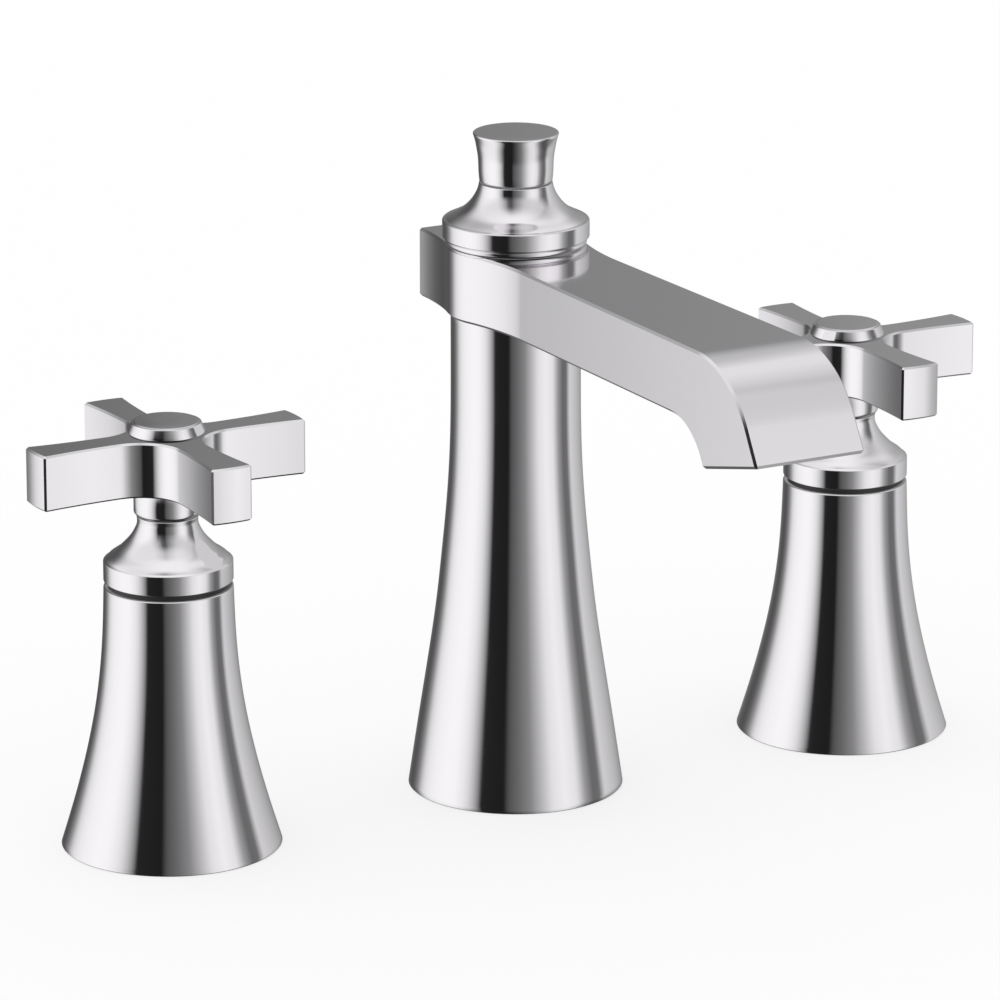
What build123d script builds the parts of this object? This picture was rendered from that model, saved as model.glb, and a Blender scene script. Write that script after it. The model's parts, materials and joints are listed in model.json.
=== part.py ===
from build123d import *
import os
from math import asin, atan2, cos, degrees, hypot, radians, sin, sqrt

os.makedirs("parts", exist_ok=True)

# Layout: the spout stands at the origin on the deck's top face and points along -Y, a handle to each side
spread = 203.2
deck_thickness = 20.0
overrun = 1.0

# Clearances shared by all pieces
slide_clearance = 0.05
seat_clearance = 0.1
free_clearance = 0.3

# Handle base: a flared shell that hides the valve
base_height = 69.3
base_foot_radius = 28.5
base_top_radius = 16.67
base_wall = 2.4
base_edge = 0.4
base_curve_shares = ((0.144, 0.746), (0.346, 0.437), (0.491, 0.261), (0.635, 0.133), (0.779, 0.053))
base_land_thickness = 6.0
base_shelf_thickness = 2.4
base_head_room = 15.3

# Soft seal let into the foot of each base and of the spout's column
foot_seal_width = 1.2
foot_seal_depth = 1.0

# Flanges on the deck, under the flared shells
flange_thickness = 4.0
flange_margin = 2.4

# Valve body: a neck for the cartridge above the flange and a threaded shank through the deck
valve_neck_share = 0.883
valve_neck_shoulder = 1.6
valve_neck_reveal = 4.0
valve_bore_share = 0.762
valve_shank_margin = 1.9
valve_shank_length = 62.0
valve_gallery_depth = 1.4
valve_chamber_depth = 1.5
passage_radius = 2.2
supply_spigot_margin = 4.2
supply_spigot_length = 20.0
supply_spigot_wall = 2.8
outlet_port_radius = 5.0
outlet_port_wall = 3.0
outlet_port_depth = 7.5
outlet_port_flat = 1.6
outlet_port_rim = 1.2

# Deck hardware under each flange and below the deck
gasket_thickness = 1.5
rubber_washer_thickness = 2.5
clamp_washer_thickness = 1.5
nut_margin = 4.0
nut_thickness = 8.0

# Cartridge
housing_wall = 1.5
housing_height = 29.0
housing_window_width = 5.0
seat_seal_thickness = 2.2
disc_thickness = 2.4
disc_port_margin = 0.4
stem_bar_width = 3.4
stem_bar_height = 3.0
stem_tongue = 1.0
stem_bore_share = 0.458
stem_ring_section = 1.2
stem_ring_drop = 8.0
spline_depth = 0.5
spline_groove_radius = 0.35
spline_count = 16
gland_thread = 7.0
gland_land = 0.9
gland_head_height = 6.0

# Handle: skirt, cross, screw and button
skirt_gap = 1.5
skirt_rim_height = 5.2
skirt_height = 17.0
skirt_neck_radius = 7.95
skirt_wall = 2.6
skirt_edge = 0.3
skirt_curve_shares = ((0.1, 0.87), (0.22, 0.63), (0.36, 0.416), (0.52, 0.213), (0.7, 0.06), (0.86, -0.015))
glide_ring_width = 3.0
glide_ring_seat = 2.0
collar_radius = 8.65
collar_height = 7.1
collar_round = 1.0
collar_groove_height = 0.45
collar_groove_depth = 0.7
cross_thickness = 14.5
cross_reach = 37.3
cross_end_half_width = 5.7
cross_waist_half_width = 4.3
cross_waist_distance = 15.5
cross_corner = 1.0
cross_edge = 0.9
button_foot_radius = 9.55
button_radius = 9.9
button_top_radius = 9.0
button_belly_height = 0.8
button_height = 3.65
button_shoulder = 0.45
button_dome = 0.3
button_spigot_radius = 5.2
button_spigot_depth = 3.0
screw_radius = 2.0
screw_head_radius = 3.6
screw_head_height = 3.2
screw_web = 3.5
screw_length = 18.0
screw_socket_across = 2.5

# Spout column
column_height = 128.5
column_foot_radius = 28.4
column_neck_radius = 17.0
column_wall = 2.4
column_roof = 4.5
column_edge = 0.2
column_curve_shares = (
    (0.125, 0.79), (0.272, 0.533), (0.389, 0.346), (0.506, 0.204), (0.623, 0.085), (0.739, 0.018), (0.87, 0.0)
)

# Spout arm: a round hub with a short tail behind it and a long body that turns down at the nose
arm_thickness = 18.5
arm_straight = 117.8
hub_overhang = 1.2
hub_step = 4.1
arm_flare = 1.5
arm_waist_distance = 28.0
tail_length = 26.8
nose_radius = 28.0
nose_front_angle = 30.0
throat_setback = 12.8
throat_radius = 17.2
heel_drop = 10.6
tip_drop = 4.2
arm_edge = 0.8
upward_share = 0.1

# Dowel that lines the arm up with the column
dowel_radius = 1.5
dowel_length = 6.0

# Waterway tube from the shank to the outlet
waterway_clearance = 1.0
waterway_wall = 0.9
waterway_bend_margin = 3.2
waterway_socket_depth = 6.0
waterway_ring_height = 1.2

# Aerator in the nose
aerator_margin = 4.1
aerator_depth = 8.0
aerator_recess = 0.6
aerator_wall = 1.2
aerator_lip = 0.9
aerator_plate = 1.6
aerator_washer_thickness = 1.4
aerator_hole_radius = 0.6
aerator_hole_rings = 3

# Spout shank, centre tube and mixing tee
boss_height = 9.0
shank_wall = 1.4
spout_shank_length = 58.0
centre_tube_wall = 1.6
centre_tube_thread = 9.0
tee_spigot_wall = 1.5
tee_spigot_length = 14.0
tee_ring_section = 0.8
tee_wall = 1.8
tee_arm_wall = 3.2
tee_arm_reach = 15.0
tee_nipple_wall = 1.6
tee_nipple_length = 12.0
tee_bore_radius = 2.4

# Cap, lift rod and knob
cap_height = 16.35
cap_rim_height = 6.4
cap_overhang = 0.95
cap_foot_overhang = 0.3
cap_foot_height = 1.9
cap_neck_radius = 9.6
cap_edge = 0.35
cap_curve_shares = ((0.1, 0.81), (0.22, 0.566), (0.36, 0.378), (0.52, 0.227), (0.7, 0.107), (0.86, 0.033))
cap_thread_depth = 8.0
rod_radius = 2.38
rod_tail = 130.0
rod_grip = 8.0
rod_clearance = 1.02
bush_wall = 2.2
bush_length = 6.0
knob_gap = 0.5
knob_height = 12.65
knob_foot_radius = 9.5
knob_top_radius = 11.15
knob_edge = 0.35
knob_dome = 0.4
knob_curve_shares = ((0.20, 0.88), (0.36, 0.84), (0.53, 0.75), (0.69, 0.56), (0.86, 0.31))

# Heights and radii of the valve, worked down from the top of the base that covers it
handle_offset = spread / 2
deck_underside = -deck_thickness
flange_top = gasket_thickness + flange_thickness
valve_neck_top = base_height - base_head_room
base_land_top = valve_neck_top - valve_neck_reveal
base_land_floor = base_land_top - base_land_thickness
housing_top = valve_neck_top - gland_thread
valve_bore_floor = housing_top - housing_height
valve_flange_radius = base_foot_radius - base_wall - flange_margin
valve_neck_radius = (base_top_radius - base_wall) * valve_neck_share
valve_bore_radius = valve_neck_radius * valve_bore_share
valve_shank_radius = valve_neck_radius + valve_shank_margin
valve_shank_foot = -valve_shank_length
supply_spigot_radius = valve_shank_radius - supply_spigot_margin
supply_spigot_foot = valve_shank_foot - supply_spigot_length
supply_bore_radius = supply_spigot_radius - supply_spigot_wall
outlet_port_level = valve_shank_foot + outlet_port_radius + outlet_port_wall
outlet_passage_offset = valve_bore_radius + valve_gallery_depth / 2

# Cartridge
housing_radius = valve_bore_radius - seat_clearance
housing_bore_radius = housing_radius - housing_wall
disc_radius = housing_bore_radius - free_clearance
disc_port_offset = (disc_radius + stem_bar_width / 2) / 2
disc_port_radius = (disc_radius - stem_bar_width / 2) / 2 - disc_port_margin
lower_disc_floor = valve_bore_floor + seat_seal_thickness
upper_disc_floor = lower_disc_floor + disc_thickness
stem_bar_floor = upper_disc_floor + disc_thickness
stem_bar_top = stem_bar_floor + stem_bar_height
gland_top = valve_neck_top + gland_head_height
stem_radius = valve_bore_radius * stem_bore_share
spline_radius = stem_radius - spline_depth

# Handle
glide_outer_radius = base_top_radius - base_wall / 2
glide_inner_radius = glide_outer_radius - glide_ring_width
glide_floor = base_height - glide_ring_seat
skirt_floor = base_height + skirt_gap
skirt_rim_top = skirt_floor + skirt_rim_height
skirt_top = skirt_floor + skirt_height
collar_floor = skirt_top + collar_groove_height
cross_floor = skirt_top + collar_height
cross_top = cross_floor + cross_thickness
button_seat = cross_top - button_spigot_depth
screw_seat = button_seat - screw_head_height - 2 * free_clearance
stem_top = screw_seat - screw_web

# Spout
column_bore_radius = column_neck_radius - column_wall
centre_bore_radius = rod_radius + rod_clearance
centre_tube_radius = centre_bore_radius + centre_tube_wall
waterway_radius = (column_bore_radius - centre_tube_radius) / 2 - waterway_clearance
waterway_bore_radius = waterway_radius - waterway_wall
waterway_offset = (column_bore_radius + centre_tube_radius) / 2
hub_radius = column_neck_radius + hub_overhang
arm_root_half_width = hub_radius - hub_step
arm_tip_half_width = arm_root_half_width + arm_flare
arm_top = column_height + arm_thickness
arm_middle = column_height + arm_thickness / 2
spout_flange_radius = column_foot_radius - column_wall - flange_margin
spout_shank_radius = waterway_offset + waterway_radius + shank_wall
spout_shank_foot = -spout_shank_length
boss_top = flange_top + boss_height
waterway_socket_floor = boss_top - waterway_socket_depth
tee_spigot_radius = waterway_bore_radius + tee_spigot_wall
tee_spigot_foot = spout_shank_foot - tee_spigot_length
tee_arm_radius = tee_bore_radius + tee_arm_wall
tee_nipple_radius = tee_bore_radius + tee_nipple_wall
tee_level = tee_spigot_foot - tee_arm_radius - tee_wall
cap_rim_radius = hub_radius + cap_overhang
cap_rim_top = arm_top + cap_rim_height
cap_top = arm_top + cap_height
knob_floor = cap_top + knob_gap
knob_top = knob_floor + knob_height

# Nose of the arm, in the upright plane through the spout: the distance in front of the axis and the height
front_angle = radians(nose_front_angle)
nose_centre_height = arm_top - nose_radius
nose_corner_distance = arm_straight + nose_radius * cos(front_angle)
nose_corner_height = nose_centre_height + nose_radius * sin(front_angle)
tip_height = column_height - tip_drop
tip_distance = nose_corner_distance + (nose_corner_height - tip_height) * sin(front_angle) / cos(front_angle)
throat_start = arm_straight - throat_setback
heel_height = column_height - heel_drop
heel_distance = throat_start + sqrt(throat_radius**2 - (throat_radius - heel_drop) ** 2)
outlet_distance = (heel_distance + tip_distance) / 2
outlet_height = (heel_height + tip_height) / 2
outlet_length = hypot(tip_distance - heel_distance, tip_height - heel_height)
outlet_tilt = atan2(tip_height - heel_height, tip_distance - heel_distance)
aerator_radius = outlet_length / 2 - aerator_margin
aerator_top = aerator_recess + aerator_depth
waterway_end = aerator_top + aerator_washer_thickness
upright = (Align.CENTER, Align.CENTER, Align.MIN)


def rod(radius, low, high):
    return Pos(0, 0, low) * Cylinder(radius, high - low, align=upright)


def ring(inner, outer, low, high):
    return rod(outer, low, high) - rod(inner, low - overrun, high + overrun)


def hexagon(across, low, high):
    flat = RegularPolygon(across / 2, 6, major_radius=False)
    return Pos(0, 0, low) * extrude(flat, high - low)


# A block centred on the upright axis
def block(length, width, low, high):
    return Pos(0, 0, low) * Box(length, width, high - low, align=upright)


# A solid of revolution from edges drawn as radius and height
def turned(*edges):
    outline = make_face(Plane.XZ * (Curve() + list(edges)))
    return revolve(outline, Axis.Z)


# Points of a flared side: each pair is a share of its height and a share of its flare
def flare_points(foot, top, shares):
    points = [foot]
    for height_share, flare_share in shares:
        radius = top[0] + (foot[0] - top[0]) * flare_share
        points.append((radius, foot[1] + (top[1] - foot[1]) * height_share))
    points.append(top)
    return points


# A flared solid: a smooth side from its foot to its rounded top edge
def flared_solid(foot_radius, top_radius, height, edge, shares):
    points = flare_points((foot_radius, 0), (top_radius, height - edge), shares)
    return turned(
        Line((0, 0), points[0]),
        Spline(*points),
        RadiusArc(points[-1], (top_radius - edge, height), -edge),
        Line((top_radius - edge, height), (0, height)),
        Line((0, height), (0, 0)),
    )


# The soft seal in a foot, midway in the wall, or the groove that holds it when its floor is lower
def foot_seal(foot_radius, wall, low):
    middle = foot_radius - wall / 2
    half = foot_seal_width / 2
    return ring(middle - half, middle + half, low, foot_seal_depth)


# A flared shell: the solid less the same flare moved in by the wall, up to a ceiling
def flared_shell(foot_radius, top_radius, wall, height, edge, shares, ceiling):
    outer = flared_solid(foot_radius, top_radius, height, edge, shares)
    inner = flared_solid(foot_radius - wall, top_radius - wall, height + edge, edge, shares)
    hollow = inner & rod(foot_radius, 0, ceiling)
    return outer - hollow - foot_seal(foot_radius, wall, -overrun)


# The base: a land inside it seats on the valve's neck, and a shelf at its top holds the glide ring
def handle_base():
    whole = flared_solid(base_foot_radius, base_top_radius, base_height, base_edge, base_curve_shares)
    land = rod(base_foot_radius, base_land_floor, base_land_top) & whole
    land -= rod(valve_neck_radius + seat_clearance, 0, base_height)
    shelf = ring(glide_inner_radius, base_top_radius, glide_floor - base_shelf_thickness, base_height) & whole
    ceiling = base_height + overrun
    base = flared_shell(
        base_foot_radius, base_top_radius, base_wall, base_height, base_edge, base_curve_shares, ceiling
    )
    return base + land + shelf - rod(glide_outer_radius + seat_clearance, glide_floor, ceiling)


# The valve body: its outlet port faces +X and its supply spigot hangs below the shank
def valve_body():
    body = rod(valve_flange_radius, gasket_thickness, flange_top)
    body += rod(valve_neck_radius + valve_neck_shoulder, gasket_thickness, base_land_floor)
    body += rod(valve_neck_radius, gasket_thickness, valve_neck_top)
    body += rod(valve_shank_radius, valve_shank_foot, gasket_thickness)
    body += rod(supply_spigot_radius, supply_spigot_foot, valve_shank_foot)
    chamber_radius = disc_port_offset + disc_port_radius
    chamber_floor = valve_bore_floor - valve_chamber_depth
    body -= rod(valve_bore_radius, valve_bore_floor, valve_neck_top + overrun)
    body -= rod(chamber_radius, chamber_floor, valve_bore_floor + overrun)
    body -= rod(valve_bore_radius + valve_gallery_depth, stem_bar_floor, stem_bar_top)
    body -= rod(supply_bore_radius, supply_spigot_foot - overrun, valve_shank_foot)
    inlet = rod(passage_radius, valve_shank_foot - overrun, chamber_floor + overrun)
    outlet = rod(passage_radius, outlet_port_level, stem_bar_top)
    flat_place = valve_shank_radius - outlet_port_flat
    port = rod(outlet_port_radius, flat_place - outlet_port_depth, valve_shank_radius + overrun)
    port += rod(outlet_port_radius + outlet_port_rim, flat_place, valve_shank_radius + overrun)
    body -= Pos(-disc_port_offset, 0, 0) * inlet
    body -= Pos(outlet_passage_offset, 0, 0) * outlet
    return body - Pos(0, 0, outlet_port_level) * Rot(0, 90, 0) * port


def deck_gasket(shank_radius, flange_radius):
    return ring(shank_radius + seat_clearance, flange_radius, 0, gasket_thickness)


def rubber_washer(shank_radius, flange_radius):
    floor = deck_underside - rubber_washer_thickness
    return ring(shank_radius + seat_clearance, flange_radius, floor, deck_underside)


def clamp_washer(shank_radius, flange_radius):
    ceiling = deck_underside - rubber_washer_thickness
    floor = ceiling - clamp_washer_thickness
    return ring(shank_radius + seat_clearance, flange_radius, floor, ceiling)


def mounting_nut(shank_radius):
    ceiling = deck_underside - rubber_washer_thickness - clamp_washer_thickness
    floor = ceiling - nut_thickness
    nut = hexagon(2 * (shank_radius + nut_margin), floor, ceiling)
    return nut - rod(shank_radius + seat_clearance, floor - overrun, ceiling + overrun)


# The cartridge's housing: a bore for the discs, a shaft bore above it and four side windows
def cartridge_housing():
    housing = rod(housing_radius, valve_bore_floor, housing_top)
    housing -= rod(housing_bore_radius, valve_bore_floor - overrun, stem_bar_top + free_clearance)
    housing -= rod(stem_radius + slide_clearance, valve_bore_floor, housing_top + overrun)
    window = block(2 * valve_bore_radius, housing_window_width, stem_bar_floor, stem_bar_top)
    return housing - window - Rot(0, 0, 90) * window


# A disc with two round ports, turned about the axis by an angle
def ported_disc(floor, thickness, turn):
    disc = rod(disc_radius, floor, floor + thickness)
    port = rod(disc_port_radius, floor - overrun, floor + thickness + overrun)
    for side in (-1, 1):
        disc -= Rot(0, 0, turn) * Pos(side * disc_port_offset, 0, 0) * port
    return disc


def seat_seal():
    return ported_disc(valve_bore_floor, seat_seal_thickness, 0)


def lower_disc():
    return ported_disc(lower_disc_floor, disc_thickness, 0)


# The turning disc: its ports stand a quarter turn away when shut, and a slot takes the stem's tongue
def upper_disc():
    slot_floor = stem_bar_floor - stem_tongue
    slot = block(2 * valve_bore_radius, stem_bar_width / 2, slot_floor, stem_bar_floor + overrun)
    return ported_disc(upper_disc_floor, disc_thickness, 90) - slot


def stem():
    bar = block(2 * disc_radius, stem_bar_width, stem_bar_floor, stem_bar_top)
    bar += block(2 * disc_radius, stem_bar_width / 2, stem_bar_floor - stem_tongue, stem_bar_floor)
    bar = bar & rod(disc_radius, upper_disc_floor, stem_bar_top)
    spline = rod(spline_radius, gland_top, stem_top)
    groove = rod(spline_groove_radius, gland_top, stem_top + overrun)
    for place in PolarLocations(spline_radius, spline_count):
        spline -= place * groove
    whole = bar + rod(stem_radius, stem_bar_top, gland_top) + spline - stem_ring()
    return whole - rod(screw_radius + slide_clearance, screw_seat - screw_length, stem_top + overrun)


# The stem's water seal, let into the shaft below the top of the housing
def stem_ring():
    ceiling = housing_top - stem_ring_drop
    return ring(stem_radius - stem_ring_section, stem_radius, ceiling - stem_ring_section, ceiling)


# The gland nut is sunk in the neck and holds the cartridge down
def gland_nut():
    nut = rod(valve_bore_radius - seat_clearance, housing_top, valve_neck_top)
    nut += hexagon(2 * (valve_bore_radius + gland_land), valve_neck_top, gland_top)
    return nut - rod(stem_radius + free_clearance, housing_top - overrun, gland_top + overrun)


# The low-friction ring under the skirt
def glide_ring():
    return ring(glide_inner_radius, glide_outer_radius, glide_floor, skirt_floor - free_clearance)


# The skirt: a short upright rim, then a bell that sweeps in to the neck under the collar
def handle_skirt():
    edge_radius = base_top_radius - skirt_edge
    rim = (edge_radius, skirt_rim_top)
    side = flare_points(rim, (skirt_neck_radius, skirt_top), skirt_curve_shares)
    skirt = turned(
        Line((0, skirt_floor), (edge_radius, skirt_floor)),
        RadiusArc((edge_radius, skirt_floor), (base_top_radius, skirt_floor + skirt_edge), -skirt_edge),
        Line((base_top_radius, skirt_floor + skirt_edge), (base_top_radius, skirt_rim_top - skirt_edge)),
        RadiusArc((base_top_radius, skirt_rim_top - skirt_edge), rim, -skirt_edge),
        Spline(*side),
        Line((skirt_neck_radius, skirt_top), (0, skirt_top)),
        Line((0, skirt_top), (0, skirt_floor)),
    )
    skirt -= rod(base_top_radius - skirt_wall, skirt_floor - overrun, skirt_rim_top - skirt_edge)
    return skirt - rod(spline_radius + seat_clearance, skirt_floor, skirt_top + overrun)


# The plan of the cross: each quarter is an arm's end, its two sides and the quarter-round valley beside it
def cross_plan():
    half_angle = asin(cross_end_half_width / cross_reach)
    corner = (cross_reach * cos(half_angle), cross_end_half_width)
    waist = (cross_waist_distance, cross_waist_half_width)
    valley_radius = cross_waist_distance - cross_waist_half_width
    valley = cross_waist_distance - valley_radius * cos(radians(45))
    edges = []
    for turn in (0, 90, 180, 270):
        quarter = Rot(0, 0, turn)
        edges.append(quarter * ThreePointArc((corner[0], -corner[1]), (cross_reach, 0), corner))
        edges.append(quarter * TangentArc(waist, corner, tangent=(1, 0)))
        edges.append(quarter * ThreePointArc(waist, (valley, valley), (waist[1], waist[0])))
        edges.append(quarter * TangentArc((waist[1], waist[0]), (corner[1], corner[0]), tangent=(0, 1)))
    plan = make_face(Curve() + edges)
    outer_distance = (cross_reach + cross_waist_distance) / 2
    corners = plan.vertices().filter_by(lambda place: hypot(place.X, place.Y) > outer_distance)
    return fillet(corners, cross_corner)


def handle_cross():
    arms = Pos(0, 0, cross_floor) * extrude(cross_plan(), cross_thickness)
    rims = arms.edges().group_by(Axis.Z)
    arms = fillet(rims[0] + rims[-1], cross_edge)
    groove_radius = skirt_neck_radius - collar_groove_depth
    collar = rod(groove_radius, skirt_top, cross_floor + cross_edge)
    foot = rod(collar_radius, collar_floor, cross_floor + cross_edge)
    collar += fillet(foot.edges().sort_by(Axis.Z)[0], collar_round)
    cross = arms + collar
    cross -= rod(spline_radius + seat_clearance, skirt_top - overrun, stem_top)
    cross -= rod(screw_radius + seat_clearance, stem_top - overrun, cross_top)
    cross -= rod(screw_head_radius + free_clearance, screw_seat, cross_top)
    cross -= rod(button_spigot_radius + seat_clearance, button_seat - free_clearance, cross_top + overrun)
    return cross


def handle_screw():
    head_top = screw_seat + screw_head_height
    screw = rod(screw_head_radius, screw_seat, head_top)
    screw += rod(screw_radius, screw_seat - screw_length + free_clearance, screw_seat)
    return screw - hexagon(screw_socket_across, screw_seat + screw_head_height / 2, head_top + overrun)


# The button: a side that leans in from its belly, a low dome, and a spigot that plugs the cross
def handle_button():
    rim_top = cross_top + button_height - button_dome
    belly = (button_radius, cross_top + button_belly_height)
    side_top = (button_top_radius, rim_top - button_shoulder)
    shoulder = (button_top_radius - button_shoulder, rim_top)
    disc = turned(
        Line((0, cross_top), (button_foot_radius, cross_top)),
        Line((button_foot_radius, cross_top), belly),
        Line(belly, side_top),
        RadiusArc(side_top, shoulder, -button_shoulder),
        RadiusArc(shoulder, (0, rim_top + button_dome), -dome_radius(shoulder[0], button_dome)),
        Line((0, rim_top + button_dome), (0, cross_top)),
    )
    return disc + rod(button_spigot_radius, button_seat, cross_top)


# Radius of a dome of a given half-width and rise
def dome_radius(half_width, rise):
    return (half_width**2 + rise**2) / (2 * rise)


# Places of the waterway tube and of the dowel, in front of and behind the axis
def waterway_place():
    return Pos(0, -waterway_offset, 0)


def dowel():
    middle = column_height - dowel_length / 2
    return Pos(0, waterway_offset, 0) * rod(dowel_radius, middle, middle + dowel_length)


def spout_column():
    column = flared_shell(
        column_foot_radius,
        column_neck_radius,
        column_wall,
        column_height,
        column_edge,
        column_curve_shares,
        column_height - column_roof,
    )
    column -= rod(centre_tube_radius + seat_clearance, 0, column_height + overrun)
    column -= waterway_place() * rod(waterway_radius + seat_clearance, 0, column_height + overrun)
    return column - dowel()


# Plan of the arm: hollow rounds run from the hub to the straight sides in front and to the tail behind
def arm_plan():
    round_radius = (arm_waist_distance**2 - hub_radius**2 + arm_root_half_width**2) / (2 * hub_step)
    centre_width = arm_root_half_width + round_radius
    touch_share = hub_radius / (hub_radius + round_radius)
    touch = (centre_width * touch_share, arm_waist_distance * touch_share)
    edges = []
    for side in (1, -1):
        root = (side * arm_root_half_width, arm_waist_distance)
        waist = (side * arm_root_half_width, -arm_waist_distance)
        tip = (side * arm_tip_half_width, -tip_distance)
        front_touch = (side * touch[0], -touch[1])
        edges.append(Line(tip, waist))
        edges.append(TangentArc(waist, front_touch, tangent=(0, 1)))
        edges.append(ThreePointArc(front_touch, (side * hub_radius, 0), (side * touch[0], touch[1])))
        edges.append(TangentArc(root, (side * touch[0], touch[1]), tangent=(0, -1)))
    edges.append(Line((-arm_root_half_width, arm_waist_distance), (arm_root_half_width, arm_waist_distance)))
    edges.append(Line((-arm_tip_half_width, -tip_distance), (arm_tip_half_width, -tip_distance)))
    return make_face(Curve() + edges)


# Side view of the arm: the distance in front of the axis and the height
def arm_profile():
    nose_bend = radians(90 - nose_front_angle) / 2
    nose_middle_height = nose_centre_height + nose_radius * cos(nose_bend)
    nose_middle = (arm_straight + nose_radius * sin(nose_bend), nose_middle_height)
    corner = (nose_corner_distance, nose_corner_height)
    edges = [
        Line((-tail_length, column_height), (-tail_length, arm_top)),
        Line((-tail_length, arm_top), (arm_straight, arm_top)),
        ThreePointArc((arm_straight, arm_top), nose_middle, corner),
        Line(corner, (tip_distance, tip_height)),
        Line((tip_distance, tip_height), (heel_distance, heel_height)),
        TangentArc((throat_start, column_height), (heel_distance, heel_height), tangent=(1, 0)),
        Line((throat_start, column_height), (-tail_length, column_height)),
    ]
    side_view = Plane(origin=(0, 0, 0), x_dir=(0, -1, 0), z_dir=(-1, 0, 0))
    return make_face(side_view * (Curve() + edges))


# The upper rim of the arm: every edge where its top and nose meet its sides and tail, without the tip
def arm_rim(arm):
    upper_faces = arm.faces().filter_by(lambda face: face.normal_at().Z > upward_share)
    edges = [edge for face in upper_faces for edge in face.edges()]
    return ShapeList(edge for edge in edges if edges.count(edge) == 1).sort_by(Axis.Z)[1:]


def spout_arm():
    plan = Pos(0, 0, heel_height - overrun) * extrude(arm_plan(), arm_top - heel_height + 2 * overrun)
    arm = plan & extrude(arm_profile(), 2 * hub_radius, both=True)
    arm = fillet(arm_rim(arm), arm_edge)
    arm -= rod(centre_tube_radius + seat_clearance, column_height - overrun, arm_top + overrun)
    arm -= waterway_sweep(waterway_radius + seat_clearance, column_height - overrun)
    arm -= outlet_place() * rod(aerator_radius + seat_clearance, -overrun, waterway_end)
    return arm - dowel()


# The outlet's place: its own +Z runs into the nose, square to the outlet face
def outlet_place():
    return Pos(0, -outlet_distance, outlet_height) * Rot(-degrees(outlet_tilt), 0, 0)


# A round bar along the waterway, from a height on the column's side to the aerator's seat
def waterway_sweep(radius, foot):
    bend = waterway_radius + waterway_bend_margin
    rise = (arm_middle - outlet_height) / cos(outlet_tilt)
    turn_distance = outlet_distance - rise * sin(outlet_tilt)
    end = outlet_place() * Pos(0, 0, waterway_end)
    route = FilletPolyline(
        (0, -waterway_offset, foot),
        (0, -waterway_offset, arm_middle),
        (0, -turn_distance, arm_middle),
        end.position,
        radius=bend,
    )
    section = Plane(origin=(0, -waterway_offset, foot)) * Circle(radius)
    return sweep(section, path=route)


def waterway_tube():
    foot = waterway_socket_floor + waterway_ring_height
    return waterway_sweep(waterway_radius, foot) - waterway_sweep(waterway_bore_radius, foot)


# The flat seal under the foot of the waterway tube
def waterway_ring():
    ceiling = waterway_socket_floor + waterway_ring_height
    return waterway_place() * ring(waterway_bore_radius, waterway_radius, waterway_socket_floor, ceiling)


# The shank: a flange and boss above the deck, a threaded body through it and a spigot for the tee below
def spout_shank():
    shank = rod(spout_flange_radius, gasket_thickness, flange_top)
    shank += rod(spout_shank_radius, spout_shank_foot, boss_top)
    shank += waterway_place() * rod(tee_spigot_radius, tee_spigot_foot, spout_shank_foot)
    shank -= rod(centre_bore_radius, spout_shank_foot - overrun, boss_top)
    shank -= rod(centre_tube_radius + slide_clearance, boss_top - centre_tube_thread, boss_top + overrun)
    passage = rod(waterway_bore_radius, tee_spigot_foot - overrun, boss_top)
    passage += rod(waterway_radius + slide_clearance, waterway_socket_floor, boss_top + overrun)
    return shank - waterway_place() * passage - tee_ring()


# The seal ring let into the spigot, halfway down
def tee_ring():
    floor = (spout_shank_foot + tee_spigot_foot - tee_ring_section) / 2
    inner = tee_spigot_radius - tee_ring_section
    return waterway_place() * ring(inner, tee_spigot_radius, floor, floor + tee_ring_section)


# The tee joins the two handles' hoses under the spout: a sleeve on the spigot, two arms and two nipples
def mixing_tee():
    reach = tee_arm_reach + tee_nipple_length
    tee = rod(tee_spigot_radius + tee_wall, tee_level - tee_arm_radius - tee_wall, spout_shank_foot)
    across = rod(tee_arm_radius, -tee_arm_reach, tee_arm_reach) + rod(tee_nipple_radius, -reach, reach)
    across_place = Pos(0, 0, tee_level) * Rot(0, 90, 0)
    tee += across_place * across
    tee -= rod(tee_spigot_radius + slide_clearance, tee_spigot_foot, spout_shank_foot + overrun)
    tee -= rod(waterway_bore_radius, tee_level - tee_bore_radius / 2, spout_shank_foot)
    tee -= across_place * rod(tee_bore_radius, -reach - overrun, reach + overrun)
    return waterway_place() * tee


# The centre tube ties the cap, the arm, the column and the shank together
def centre_tube():
    foot = boss_top - centre_tube_thread
    return ring(centre_bore_radius, centre_tube_radius, foot, arm_top + cap_thread_depth)


# The cap: a short foot, an upright rim over the hub and a bell that sweeps in to the rod
def spout_cap():
    foot_radius = hub_radius + cap_foot_overhang
    foot_top = arm_top + cap_foot_height
    rim = (cap_rim_radius - cap_edge, cap_rim_top)
    neck = (cap_neck_radius, cap_top - cap_edge)
    cap = turned(
        Line((0, arm_top), (foot_radius, arm_top)),
        Line((foot_radius, arm_top), (foot_radius, foot_top)),
        Line((foot_radius, foot_top), (cap_rim_radius - cap_edge, foot_top)),
        RadiusArc((cap_rim_radius - cap_edge, foot_top), (cap_rim_radius, foot_top + cap_edge), -cap_edge),
        Line((cap_rim_radius, foot_top + cap_edge), (cap_rim_radius, cap_rim_top - cap_edge)),
        RadiusArc((cap_rim_radius, cap_rim_top - cap_edge), rim, -cap_edge),
        Spline(*flare_points(rim, neck, cap_curve_shares)),
        RadiusArc(neck, (cap_neck_radius - cap_edge, cap_top), -cap_edge),
        Line((cap_neck_radius - cap_edge, cap_top), (0, cap_top)),
        Line((0, cap_top), (0, arm_top)),
    )
    cap -= rod(centre_tube_radius + slide_clearance, arm_top - overrun, arm_top + cap_thread_depth)
    cap -= rod(centre_bore_radius, arm_top, cap_top)
    return cap - rod(rod_radius + slide_clearance + bush_wall, cap_top - bush_length, cap_top + overrun)


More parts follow.
